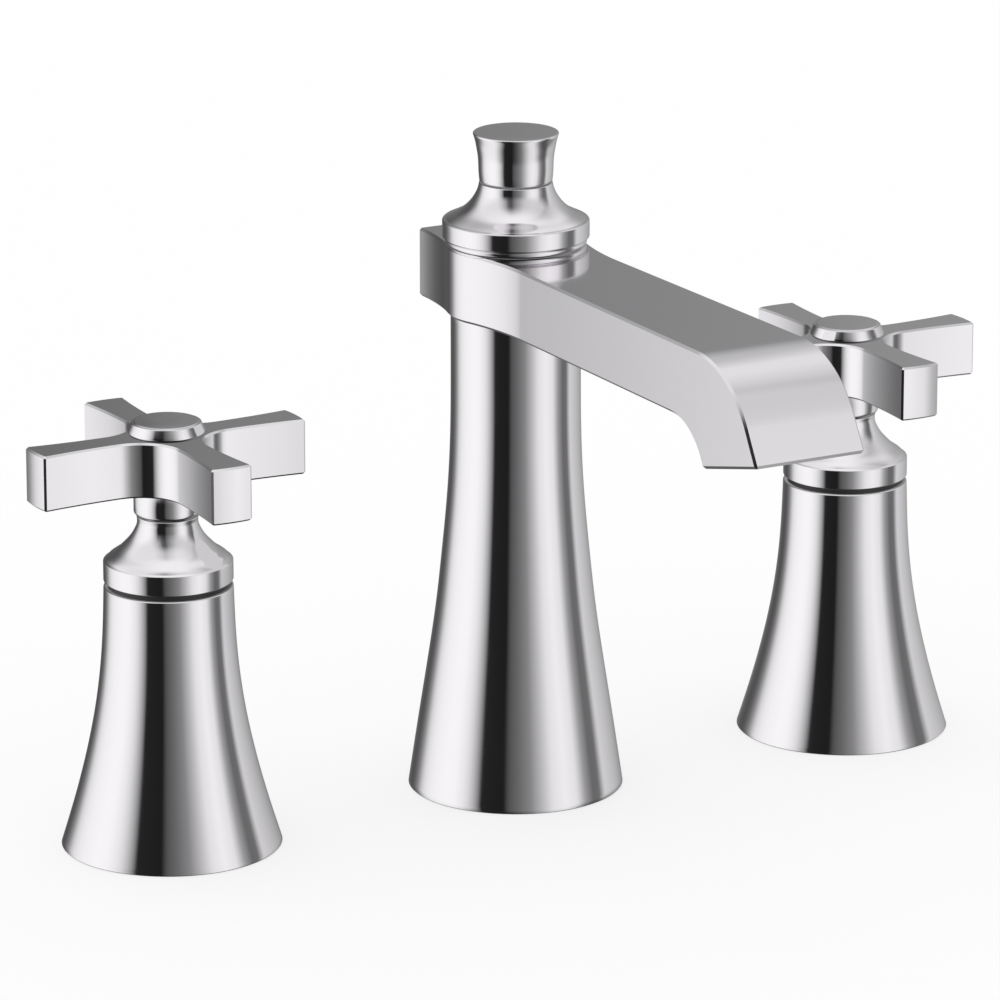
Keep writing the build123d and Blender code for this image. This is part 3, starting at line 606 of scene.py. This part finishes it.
def capOutline(look):
    radius = (look["beadTop"] - look["floor"]) / 2
    beadCentre = (look["beadWidth"] - radius, look["floor"] + radius)
    bead = arcPoints(beadCentre, radius, -90, look["beadEnd"], look["beadSteps"])
    bellFoot = (look["rim"] - look["shoulder"], look["rimTop"])
    bell = flare(bellFoot, (look["neck"], look["top"] - look["neckEdge"]), capShares, look["steps"])
    return rounded([(look["bushBore"], look["floor"])] + bead + [
        (look["rim"], look["beadTop"], look["lowerEdge"]),
        (look["rim"], look["rimTop"] + look["rimLift"], look["upperEdge"]),
    ] + bell[2:] + [
        (look["neck"], look["top"], look["neckEdge"]), (look["bore"], look["top"]),
        (look["bore"], look["bushTop"]), (look["bushBore"], look["bushTop"]),
    ])


turnPiece("spoutCap", capOutline(capLook), 0, "body", "spout_cap")

# Knob on the lift rod: it flares from a narrower foot to a gently domed top
knobLook = {
    "foot": 9.5, "top": 11.15, "floor": 163.85, "height": 176.5, "edge": 0.35, "edgeSteps": 5,
    "dome": 0.4, "domeSteps": 14, "bore": 2.45, "boreTop": 171.6, "steps": 40,
}
knobShares = ((0.20, 0.88), (0.36, 0.84), (0.53, 0.75), (0.69, 0.56), (0.86, 0.31))


def knobOutline(look):
    sideTop = (look["top"], look["height"] - look["edge"])
    side = flare((look["foot"], look["floor"]), sideTop, knobShares, look["steps"])
    rim = look["top"] - look["edge"]
    edge = arcPoints((rim, sideTop[1]), look["edge"], 0, 90, look["edgeSteps"])
    domeRadius = (rim ** 2 + look["dome"] ** 2) / (2 * look["dome"])
    domeCentre = (0, look["height"] + look["dome"] - domeRadius)
    lean = math.degrees(math.asin(rim / domeRadius))
    dome = arcPoints(domeCentre, domeRadius, 90 - lean, 90, look["domeSteps"])
    return [(look["bore"], look["floor"])] + side + edge[1:] + dome[1:] + [
        (0, look["boreTop"]), (look["bore"], look["boreTop"]),
    ]


turnPiece("liftKnob", knobOutline(knobLook), 0, "lift", "lift_knob")
print("cap and knob made")


# Floor, studio and camera

def stageMaterial(name):
    material = bpy.data.materials.new(name)
    material.use_nodes = True
    tree = material.node_tree
    tree.nodes.clear()
    return material, tree, addNode(tree, "ShaderNodeOutputMaterial").inputs["Surface"]


def addStage(name, shape, material):
    made = addObject(name, shape, material)
    return made


def onlyInPolish(screen):
    screen.visible_camera = False
    screen.visible_diffuse = False
    screen.visible_transmission = False
    screen.visible_shadow = False


def addMath(tree, operation, *sources):
    return addNode(tree, "ShaderNodeMath", dict(enumerate(sources)), operation=operation).outputs[0]


# The floor is white to the eye, and keeps a share of the object's shadow
floorLook = {"size": 30.0, "level": -0.05, "colour": (0.99, 0.99, 0.99), "shadowShare": 0.35}
floorMaterial, tree, surface = stageMaterial("floor")
plain = addNode(tree, "ShaderNodeBsdfDiffuse", {"Color": floorLook["colour"]}).outputs["BSDF"]
white = addNode(tree, "ShaderNodeEmission", {"Color": (1, 1, 1), "Strength": 1.0}).outputs["Emission"]
rays = addNode(tree, "ShaderNodeLightPath").outputs
seen = addMath(tree, "MAXIMUM", rays["Is Camera Ray"], rays["Is Glossy Ray"])
seen = addMath(tree, "MAXIMUM", seen, rays["Is Transmission Ray"])
whiteShare = addMath(tree, "MULTIPLY", seen, 1 - floorLook["shadowShare"])
feed(tree, surface, addNode(tree, "ShaderNodeMixShader", {0: whiteShare, 1: plain, 2: white}).outputs[0])
shape = bmesh.new()
bmesh.ops.create_grid(shape, x_segments=1, y_segments=1, size=floorLook["size"] / 2)
bmesh.ops.translate(shape, verts=shape.verts, vec=(0, 0, floorLook["level"] * mm))
floor = addStage("floor", shape, floorMaterial)
floor.visible_glossy = False

# The studio is a ball of light and dark screens, close round the object, that only glossy rays see.
# A band is an angle round the object, counted from the camera to its right, and a tone as the eye reads it.
cameraHeading = 29.014
studioBands = (
    (-180, 126), (-174, 123), (-169, 106), (-160, 88), (-147, 78), (-139, 92), (-133, 114), (-127, 146),
    (-121.5, 186), (-116, 214), (-108, 230), (-98, 239), (-80, 245), (-68, 243), (-58, 230), (-52, 213),
    (-46, 180), (-40.5, 130), (-37, 34), (-12.5, 28), (-7, 80), (4, 104), (16, 131), (28, 180),
    (40, 222), (54, 236), (68, 223), (79, 152), (90, 102), (100, 106), (110, 204), (180, 126),
)
studioHighBands = (
    (-180, 190), (-170, 180), (-158, 165), (-146, 180), (-130, 208), (-110, 224), (-60, 219), (-45, 195),
    (-32, 150), (-24, 92), (-14, 78), (-4, 125), (12, 165), (30, 198), (56, 206), (86, 198), (98, 178),
    (110, 192), (136, 218), (150, 220), (164, 186), (180, 190),
)
studioLowBands = (
    (-180, 112), (-150, 86), (-138, 84), (-128, 118), (-118, 176), (-108, 218), (-90, 233), (-70, 233),
    (-60, 214), (-50, 168), (-41, 100), (-36, 32), (-12, 29), (-6, 52), (4, 80), (18, 118), (32, 180),
    (44, 218), (58, 223), (68, 190), (79, 116), (90, 78), (102, 82), (114, 118), (140, 130), (180, 112),
)
studioLook = {
    "distance": 1.15, "middle": 0.09, "overhead": 236, "nadir": 30, "reflectance": 0.92,
    "nadirEdge": (-44, -66), "lowEdge": (-16, -27), "highEdge": (22, 45), "overheadEdge": (50, 84),
    "segments": 64, "rings": 32,
}


def grey(level):
    # The light of a tone from 0 to 255 as the eye reads it, made up for what the chrome swallows
    tone = level / 255
    light = tone / 12.92 if tone <= 0.04045 else ((tone + 0.055) / 1.055) ** 2.4
    return (light / studioLook["reflectance"],) * 3


def addBands(tree, angle, levels):
    bands = addNode(tree, "ShaderNodeValToRGB", {0: angle})
    ramp = bands.color_ramp
    while len(ramp.elements) < len(levels):
        ramp.elements.new(1.0)
    for element, (turn, level) in zip(ramp.elements, levels):
        element.position = (turn + 180) / 360
        element.color = (*grey(level), 1)
    return bands.outputs["Color"]


def pastEdge(tree, height, edge):
    # Grows from 0 to 1 between two heights over the horizon, in degrees
    start, end = edge
    limits = {"From Min": math.radians(start), "From Max": math.radians(end), "Value": height}
    return addNode(tree, "ShaderNodeMapRange", limits, interpolation_type="SMOOTHSTEP").outputs[0]


def studioTone(tree, look):
    place = addNode(tree, "ShaderNodeTexCoord").outputs["Object"]
    centred = {"Location": (0, 0, -look["middle"]), "Vector": place}
    lowered = addNode(tree, "ShaderNodeMapping", centred).outputs[0]
    facing = addNode(tree, "ShaderNodeVectorMath", {0: lowered}, operation="NORMALIZE").outputs[0]
    fromCamera = {"Rotation": (0, 0, math.radians(90 + cameraHeading)), "Vector": facing}
    turned = addNode(tree, "ShaderNodeMapping", fromCamera).outputs[0]
    axes = addNode(tree, "ShaderNodeSeparateXYZ", {0: turned}).outputs
    around = addMath(tree, "ARCTAN2", axes["Y"], axes["X"])
    height = addMath(tree, "ARCSINE", axes["Z"])
    limits = {"From Min": -math.pi, "From Max": math.pi, "To Min": 0.0, "To Max": 1.0, "Value": around}
    angle = addNode(tree, "ShaderNodeMapRange", limits).outputs[0]
    rows = (studioLowBands, studioBands, studioHighBands)
    low, level, high = [addBands(tree, angle, row) for row in rows]
    low = mixedColour(tree, pastEdge(tree, height, look["nadirEdge"]), low, grey(look["nadir"]))
    level = mixedColour(tree, pastEdge(tree, height, look["lowEdge"]), level, low)
    high = mixedColour(tree, pastEdge(tree, height, look["highEdge"]), level, high)
    return mixedColour(tree, pastEdge(tree, height, look["overheadEdge"]), high, grey(look["overhead"]))


studioMaterial, tree, surface = stageMaterial("studio")
glow = addNode(tree, "ShaderNodeEmission", {"Color": studioTone(tree, studioLook), "Strength": 1.0})
feed(tree, surface, glow.outputs[0])
shape = bmesh.new()
bmesh.ops.create_uvsphere(
    shape, u_segments=studioLook["segments"], v_segments=studioLook["rings"], radius=studioLook["distance"],
)
bmesh.ops.translate(shape, verts=shape.verts, vec=(0, 0, studioLook["middle"]))
onlyInPolish(addStage("studio", shape, studioMaterial))

# A pale card between each handle and the spout keeps the spout's cap out of that handle's polish.
# Only its face towards the handle shows, and only to glossy rays.
cardLook = {"away": 62.0, "bottom": 104.0, "top": 155.0, "halfWidth": 24.0, "hot": 200, "cold": 229}
for side, centre in handleCentres.items():
    cardMaterial, tree, surface = stageMaterial(f"card{side.title()}")
    pale = addNode(tree, "ShaderNodeEmission", {"Color": grey(cardLook[side]), "Strength": 1.0}).outputs[0]
    clear = addNode(tree, "ShaderNodeBsdfTransparent").outputs[0]
    turnedAway = addNode(tree, "ShaderNodeNewGeometry").outputs["Backfacing"]
    feed(tree, surface, addNode(tree, "ShaderNodeMixShader", {0: turnedAway, 1: pale, 2: clear}).outputs[0])
    outwards = math.copysign(1, centre)
    x = centre - outwards * cardLook["away"]
    shape = bmesh.new()
    corners = [
        shape.verts.new((x * mm, y * cardLook["halfWidth"] * mm, cardLook[level] * mm))
        for y, level in ((-1, "bottom"), (1, "bottom"), (1, "top"), (-1, "top"))
    ]
    card = shape.faces.new(corners)
    shape.normal_update()
    if card.normal.x * outwards < 0:
        card.normal_flip()
    onlyInPolish(addStage(f"card{side.title()}", shape, cardMaterial))

# The photograph's three sets look polished and lit apart, so the bases, the handles, the column, the arm
# and the CAD's own nodes aren't mirrored in their neighbours
for piece in bpy.data.objects:
    if piece.name in frame["nodes"] or piece.name.startswith(("hot", "cold", "spoutArm", "spoutColumn")):
        piece.visible_glossy = False

world = bpy.data.worlds.new("world")
bpy.context.scene.world = world
world.use_nodes = True
light = world.node_tree.nodes["Background"]
light.inputs["Color"].default_value = (1, 1, 1, 1)
light.inputs["Strength"].default_value = 1.0

cameraLook = {
    "place": (-830.69, -1490.77, 569.77), "pitch": 16.076, "lens": 243.7, "sensor": 36.0,
    "shift": (-0.0028, -0.0018), "clip": (0.05, 100.0),
}
eye = bpy.data.cameras.new("camera")
eye.sensor_width = cameraLook["sensor"]
eye.lens = cameraLook["lens"]
eye.clip_start, eye.clip_end = cameraLook["clip"]
eye.shift_x, eye.shift_y = cameraLook["shift"]
camera = bpy.data.objects.new("camera", eye)
bpy.context.scene.collection.objects.link(camera)
camera.location = Vector(cameraLook["place"]) * mm
camera.rotation_euler = (math.radians(90 - cameraLook["pitch"]), 0, math.radians(-cameraHeading))
bpy.context.scene.camera = camera
bpy.context.scene.view_settings.view_transform = "Standard"
print("stage and camera set")
